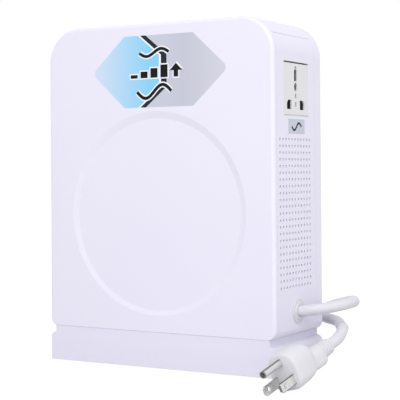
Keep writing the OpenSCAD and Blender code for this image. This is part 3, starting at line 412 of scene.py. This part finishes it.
FINISH_OF = {
    "shell_plastic": shell_plastic(),
    "nickel_plate": nickel_plate(),
    "copper_wire": copper_wire(),
    "label_film": label_film(),
    "outlet_plastic": patchy(
        "grey_outlet_plastic", (90, 3), (0.735, 0.735, 0.755), (0.785, 0.785, 0.80),
        rough=(0.34, 0.12, 300, 2), grain=(3000, 2, 0.02, 0.3),
    ),
    "housing_plastic": patchy(
        "dark_housing_plastic", (120, 3), (0.030, 0.030, 0.033), (0.045, 0.045, 0.049),
        rough=(0.45, 0.15, 300, 2), grain=(2500, 2, 0.02, 0.3),
    ),
    "lead_plastic": patchy(
        "white_lead_plastic", (45, 3), (0.68, 0.675, 0.725), (0.72, 0.715, 0.76),
        rough=(0.38, 0.14, 220, 3), grain=(1500, 3, 0.04, 0.3),
    ),
    "small_label_film": patchy(
        "small_label_film", (90, 2), (0.50, 0.55, 0.65), (0.56, 0.61, 0.71),
        rough=(0.26, 0.1, 220, 3), grain=(1600, 2, 0.01, 0.2),
    ),
    "contact_brass": patchy(
        "contact_brass", (120, 4), (0.70, 0.50, 0.20), (0.82, 0.62, 0.30),
        rough=(0.25, 0.25, 120, 4), grain=(900, 2, 0.02, 0.2), Metallic=1.0,
    ),
    "zinc_steel": patchy(
        "zinc_steel", (180, 4), (0.50, 0.51, 0.53), (0.62, 0.63, 0.64),
        rough=(0.30, 0.2, 180, 4), grain=(1800, 2, 0.02, 0.3), Metallic=1.0,
    ),
    "core_steel": patchy(
        "wound_core_steel", (60, 4), (0.17, 0.17, 0.18), (0.26, 0.26, 0.27),
        rough=(0.42, 0.2, 60, 4), grain=(1200, 2, 0.04, 0.4), Metallic=1.0,
    ),
    "wire_insulation": patchy(
        "wire_insulation", (70, 2), (0.33, 0.10, 0.05), (0.42, 0.14, 0.07),
        rough=(0.40, 0.12, 300, 2), grain=(2000, 2, 0.02, 0.3),
    ),
    "dark_rubber": patchy(
        "grey_rubber", (120, 4), (0.055, 0.055, 0.06), (0.085, 0.085, 0.09),
        rough=(0.68, 0.2, 500, 3), grain=(2200, 3, 0.06, 0.5),
    ),
}
INK = patchy(
    "black_mark_ink", (400, 2), (0.004, 0.004, 0.005), (0.008, 0.008, 0.010),
    rough=(0.45, 0.1, 600, 2), Specular_IOR_Level=0.15,
)
HALO = patchy(
    "white_halo_ink", (400, 2), (0.86, 0.87, 0.90), (0.90, 0.91, 0.93), rough=(0.35, 0.1, 600, 2),
)
SLOT_OF = {part["node"]: part["material_slot"] for part in frame["record"]["subparts"]}

for node_name, node_object in frame["nodes"].items():
    node_object.data.materials.clear()
    node_object.data.materials.append(FINISH_OF[SLOT_OF[node_name]])


# Making pieces

CREASE = 35
SAME_PLACE = 2e-6
EDGE_SEGMENTS, RIM_SEGMENTS = 3, 4
RIM_R = (65, 78)
RIM_DEPTH = 2
RIM_ANGLE = (2, 30)


def crease(bm, degrees):
    """Smooth faces, with a sharp edge wherever two of them meet at more than this angle."""
    for face in bm.faces:
        face.smooth = True
    for edge in bm.edges:
        edge.smooth = edge.is_manifold and edge.calc_face_angle() < math.radians(degrees)


def piece(name, bm, slot, node=None, finish=None, crease_at=CREASE, even=False):
    """A finished mesh becomes a piece that rides on the object and may stand for a CAD node."""
    crease(bm, crease_at)
    data = bpy.data.meshes.new(name)
    bm.to_mesh(data)
    bm.free()
    data.materials.append(finish or FINISH_OF[slot])
    made = put(name, data)
    if even:
        weights = made.modifiers.new("even_normals", "WEIGHTED_NORMAL")
        weights.keep_sharp = True
    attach(made, "root")
    if node:
        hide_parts(node)
    return made


def rounded(bm, edges, by, segments=EDGE_SEGMENTS):
    """Rounds edges by a width in millimetres."""
    bmesh.ops.bevel(
        bm, geom=edges, offset=by * MM, offset_type="OFFSET", segments=segments, profile=0.5,
        affect="EDGES", clamp_overlap=True, material=-1,
    )


def on_rim(edge):
    """Whether an edge is one of those that bound the sloped rim of the front's round recess."""
    reach = [math.hypot(v.co.x, v.co.z - RECESS_Z * MM) / MM for v in edge.verts]
    depth = max(v.co.y for v in edge.verts) / MM - FRONT_Y
    if depth >= RIM_DEPTH or min(reach) <= RIM_R[0] or max(reach) >= RIM_R[1]:
        return False
    return RIM_ANGLE[0] < math.degrees(edge.calc_face_angle(0)) < RIM_ANGLE[1]


def moulded(node, name, edge=0.0, flat=0.5, rim=0.0):
    """A smooth copy of a CAD node, with its sharp edges, and those of the recess's rim, rounded.

    Faces that meet at less than flat degrees are joined first.
    """
    bm = bmesh.new()
    bm.from_mesh(frame["nodes"][node].data)
    bmesh.ops.remove_doubles(bm, verts=bm.verts[:], dist=SAME_PLACE)
    if flat:
        bmesh.ops.dissolve_limit(bm, angle_limit=math.radians(flat), verts=bm.verts[:], edges=bm.edges[:])
    if rim:
        rounded(bm, [e for e in bm.edges if on_rim(e)], rim, RIM_SEGMENTS)
    if edge:
        sharp = [e for e in bm.edges if e.is_manifold and e.calc_face_angle() > math.radians(CREASE)]
        rounded(bm, sharp, edge)
    return piece(name, bm, SLOT_OF[node], node, even=True)


moulded("front_cover", "front_shell", flat=0.03, rim=1.3)
moulded("rear_cover", "rear_shell")
moulded("right_panel", "vented_right_side", flat=0)
moulded("left_panel", "vented_left_side", flat=0)
moulded("top_panel", "top_strip")
moulded("base_stand", "stand", edge=0.15)
moulded("socket_face", "outlet_face", edge=0.2)
moulded("cable_gland", "lead_gland", edge=0.25)
tie = moulded("coil_tie", "lead_tie", edge=0.4)
live = moulded("live_blade", "plug_live_blade", edge=0.2)
neutral = moulded("neutral_blade", "plug_neutral_blade", edge=0.2)
earth = moulded("earth_pin", "plug_earth_pin", edge=0.35)


LIP_SIZE = (2, 38.5, 1)
LIP_EDGE = 0.25
LIP_AT = (SIDE_X - 1.9, SIDE_Y, 179.7)


def lower_lip():
    """The pale lip in the slit under the outlet's face, just below the panel's surface."""
    bm = bmesh.new()
    bmesh.ops.create_cube(bm, size=MM)
    bmesh.ops.scale(bm, vec=LIP_SIZE, verts=bm.verts[:])
    rounded(bm, bm.edges[:], LIP_EDGE)
    bmesh.ops.translate(bm, vec=at(*LIP_AT), verts=bm.verts[:])
    piece("outlet_lower_lip", bm, "outlet_plastic")


lower_lip()


# Marks on the labels: waves, rising bars and an arrow

MARK_T = 0.05
WAVE_X = -1
SMALL_LABEL_Z = 172
STEPS_X, STEPS_Z = 1, 213
STEPS_HALO = 0.9
BAR_W, STEPS_LOW = 6, -4.5
BAR_PLACES = [(-22, -2), (-13.5, 0.2), (-5, 2.4), (3.5, 4.6)]
BARS = [[(x, STEPS_LOW), (x + BAR_W, STEPS_LOW), (x + BAR_W, top), (x, top)] for x, top in BAR_PLACES]
ARROW = [
    (14.6, STEPS_LOW), (18.4, STEPS_LOW), (18.4, 0.2), (21.8, 0.2), (16.5, 5.4), (11.2, 0.2), (14.6, 0.2),
]


def on_front(x, z, lift):
    """Turns a flat mark onto the front, at this lift from it."""
    return Matrix.Translation(at(x, FRONT_Y - lift, z)) @ turned(90, "X")


def on_side(y, z):
    """Turns a flat mark onto the right side."""
    return Matrix.Translation(at(SIDE_X, y, z)) @ turned(90, "Z") @ turned(90, "X")


def raised_mark(name, bm, place, slot, finish):
    """Gives a flat mark its thickness and puts it in its place."""
    bmesh.ops.recalc_face_normals(bm, faces=bm.faces[:])
    drawn = bmesh.ops.extrude_face_region(bm, geom=bm.faces[:])["geom"]
    lifted = [v for v in drawn if isinstance(v, bmesh.types.BMVert)]
    bmesh.ops.translate(bm, vec=at(0, 0, MARK_T), verts=lifted)
    bmesh.ops.recalc_face_normals(bm, faces=bm.faces[:])
    bm.transform(place)
    piece(name, bm, slot, finish=finish)


def wave_mark(name, place, slot, finish, width, height, stroke):
    """One wave of alternating current."""
    bm = bmesh.new()
    bmesh.ops.create_grid(bm, x_segments=48, y_segments=1, size=0.5)
    for v in bm.verts:
        t, side = v.co.x, 2 * v.co.y
        slope = height * math.pi / width * math.cos(math.tau * t)
        normal = Vector((-slope, 1)).normalized() * side * stroke / 2
        v.co = at(t * width + normal.x, height / 2 * math.sin(math.tau * t) + normal.y, 0)
    raised_mark(name, bm, place, slot, finish)


def haloed_wave(name, z, width, height, stroke, halo):
    """A black wave on the front label, with a wider white one under it."""
    wave_mark(name + "_halo", on_front(WAVE_X, z, 0), "label_film", HALO, width, height, halo)
    wave_mark(name, on_front(WAVE_X, z, MARK_T), "label_film", INK, width, height, stroke)


def grown(outline, by):
    """A box or arrow outline pushed out from its own middle."""
    middle = sum((Vector(p) for p in outline), Vector((0, 0))) / len(outline)
    return [(x + math.copysign(by, x - middle.x), z + math.copysign(by, z - middle.y)) for x, z in outline]


def steps_mark(name, lift, finish, outlines):
    """Rising bars and an arrow on the front label."""
    bm = bmesh.new()
    for outline in outlines:
        bm.faces.new([bm.verts.new(at(x, z, 0)) for x, z in outline])
    raised_mark(name, bm, on_front(STEPS_X, STEPS_Z, lift), "label_film", finish)


haloed_wave("low_wave", z=226.6, width=25, height=5.2, stroke=2.2, halo=4.0)
steps_mark("step_bars_halo", 0, HALO, [grown(outline, STEPS_HALO) for outline in BARS + [ARROW]])
steps_mark("step_bars", MARK_T, INK, BARS + [ARROW])
haloed_wave("high_wave", z=198.6, width=29, height=9.5, stroke=2.4, halo=4.2)
wave_mark(
    "output_wave", on_side(SIDE_Y, SMALL_LABEL_Z), "small_label_film", INK, width=15, height=5, stroke=1.5,
)


# Plug: a lofted moulding with a ribbed strain relief

PLUG_PLACE = Matrix.Translation(PLUG_AT * MM) @ PLUG_TURN
PLUG_W, PLUG_H = 22.6, 25.0
PLUG_CREASE = 50
FLANGE_RISE = 5
BLADE_SIDE_R, PIN_SIDE_R = 7, 10
CORNER_SEGMENTS = 7

# Each section's distance behind the plug's face, width, height, and rise of its middle above the blades
SECTIONS = [
    (0, 19.2, 21.6, 5), (0.3, 20.6, 23.0, 5), (0.9, 21.8, 24.2, 5), (2.0, PLUG_W, PLUG_H, 5),
    (13, PLUG_W, PLUG_H, 5), (18.5, 21.8, 24.0, 5), (22.2, 20.4, 22.4, 4.9), (24.0, 18.6, 20.4, 4.5),
    (25.2, 16.0, 17.4, 3.2), (26.4, 14.0, 14.6, 1.8), (28, 13.2, 13.6, 1.1), (30.5, 13.8, 14.1, 1.1),
    (33, 14.2, 14.5, 1.1), (39.5, 14.2, 14.5, 1.1), (41.4, 13.6, 13.9, 1.2), (42.3, 12.4, 12.6, 1.4),
    (42.5, 11.0, 11.2, 1.6),
]

# The relief's outline as radius and distance behind the plug's face
RELIEF_ROOT = [(0, 41.5), (5.0, 41.5), (5.0, 43.6)]
RELIEF_TIP = [(4.5, 56.0), (4.2, RELIEF_END), (0, RELIEF_END)]
RIBS = 4
RIB_AT, RIB_STEP = 44.0, 3.11
RIB_R, RIB_TAPER = 5.8, 0.1
RIB_OUTLINE = [(-0.35, -0.1), (0, 0.3), (0, 1.3), (-0.35, 1.7), (-1.15, 1.85), (-1.2, 2.7)]
RELIEF_MERGE = 1e-6


def spin_relief(bm):
    """Turns the strain relief's outline, a cone with four ribs, about the lead."""
    outline = RELIEF_ROOT[:]
    for k in range(RIBS):
        outline += [(RIB_R - RIB_TAPER * k + r, RIB_AT + RIB_STEP * k + y) for r, y in RIB_OUTLINE]
    outline += RELIEF_TIP
    ring = [bm.verts.new(at(r, y, 0)) for r, y in outline]
    edges = [bm.edges.new(pair) for pair in zip(ring, ring[1:])]
    bmesh.ops.spin(
        bm, geom=ring + edges, cent=(0, 0, 0), axis=(0, 1, 0), angle=math.tau, steps=32,
        use_merge=True, use_duplicate=False,
    )
    bmesh.ops.remove_doubles(bm, verts=bm.verts[:], dist=RELIEF_MERGE)
    bmesh.ops.translate(bm, vec=at(0, 0, CORD_RISE), verts=bm.verts[:])


def loft_plug():
    """A flange that is round on the earth pin's side, drawn in to a waist and out again to a grip."""
    bm = bmesh.new()
    spin_relief(bm)
    corners = bmesh.ops.create_grid(bm, x_segments=1, y_segments=1, size=0.5)["verts"]
    bmesh.ops.scale(bm, vec=(PLUG_W * MM, PLUG_H * MM, 1), verts=corners)
    for low, radius in ((True, BLADE_SIDE_R), (False, PIN_SIDE_R)):
        bmesh.ops.bevel(
            bm, geom=[v for v in corners if v.is_valid and (v.co.y < 0) == low], offset=radius * MM,
            offset_type="OFFSET", segments=CORNER_SEGMENTS, profile=0.5, affect="VERTICES", material=-1,
        )
    face = max(bm.faces, key=lambda f: len(f.verts))
    ring = face.verts[:]
    bmesh.ops.rotate(bm, cent=(0, 0, 0), matrix=Matrix.Rotation(math.radians(90), 3, "X"), verts=ring)
    bmesh.ops.translate(bm, vec=at(0, 0, FLANGE_RISE), verts=ring)
    y, width, height, middle = 0, PLUG_W, PLUG_H, FLANGE_RISE
    for i, (to, w, h, m) in enumerate(SECTIONS):
        if i:
            drawn = bmesh.ops.extrude_face_region(bm, geom=[face])["geom"]
            old, face = face, next(g for g in drawn if isinstance(g, bmesh.types.BMFace))
            if i > 1:
                bmesh.ops.delete(bm, geom=[old], context="FACES_ONLY")
        ring = face.verts[:]
        bmesh.ops.translate(bm, vec=at(0, to - y, m - middle), verts=ring)
        bmesh.ops.scale(
            bm, vec=(w / width, 1, h / height), verts=ring, space=Matrix.Translation(-at(0, to, m)),
        )
        y, width, height, middle = to, w, h, m
    bmesh.ops.recalc_face_normals(bm, faces=bm.faces[:])
    bm.transform(PLUG_PLACE)
    return piece("plug_moulding", bm, "lead_plastic", "plug_body", crease_at=PLUG_CREASE)


plug = loft_plug()

lead.data.materials.append(FINISH_OF["lead_plastic"])
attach(lead, "root")
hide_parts("cord_run_out", "cord_coil", "cord_run_plug")


# Floor, world and lamps

FLOOR_REACH = 8
FLOOR_SEEN = 0.8
FLOOR_GLOW = 1.17
WORLD_FILL = 0.79


def pale_floor():
    """A wide floor that looks white and keeps some of the object's shadow."""
    bm = bmesh.new()
    bmesh.ops.create_grid(bm, x_segments=1, y_segments=1, size=FLOOR_REACH)
    data = bpy.data.meshes.new("pale_floor")
    bm.to_mesh(data)
    bm.free()
    material = bpy.data.materials.new("pale_floor")
    nodes = Nodes(material)
    plain = nodes.node("ShaderNodeBsdfDiffuse", None, {"Color": (0.65, 0.65, 0.66, 1)})
    white = nodes.node("ShaderNodeEmission", None, {"Color": WHITE, "Strength": FLOOR_GLOW})
    mixed = nodes.node("ShaderNodeMixShader", None, {0: nodes.looked_at() * FLOOR_SEEN, 1: plain, 2: white})
    nodes.node("ShaderNodeOutputMaterial", None, {"Surface": mixed})
    data.materials.append(material)
    put("pale_floor", data)


def studio_world():
    """Even light from all round, which is plain white where it is looked at."""
    world = bpy.data.worlds.new("studio")
    bpy.context.scene.world = world
    nodes = Nodes(world)
    fill = nodes.node("ShaderNodeBackground", None, {"Color": WHITE, "Strength": WORLD_FILL})
    white = nodes.node("ShaderNodeBackground", None, {"Color": WHITE, "Strength": 1})
    mixed = nodes.node("ShaderNodeMixShader", None, {0: nodes.looked_at(), 1: fill, 2: white})
    nodes.node("ShaderNodeOutputWorld", None, {"Surface": mixed})


def soft_lamp(name, place, aim, size, power):
    """A square lamp, given in metres and watts, that faces its aim."""
    data = bpy.data.lights.new(name, "AREA")
    data.shape = "SQUARE"
    data.size = size
    data.energy = power
    facing = (Vector(aim) - Vector(place)).to_track_quat("-Z", "Y")
    lamp = put(name, data)
    lamp.matrix_world = Matrix.Translation(place) @ facing.to_matrix().to_4x4()


pale_floor()
studio_world()
soft_lamp("key_softbox", place=(0.5, -1.0, 0.95), aim=(0, 0, 0.15), size=0.6, power=6.1)
soft_lamp("low_softbox", place=(0.6, -1.15, 0.3), aim=(0.05, 0, 0.1), size=0.8, power=1.4)
soft_lamp("side_softbox", place=(1.4, -0.15, 0.3), aim=(0.05, 0, 0.1), size=0.8, power=2.2)
bpy.context.scene.view_settings.view_transform = "Standard"
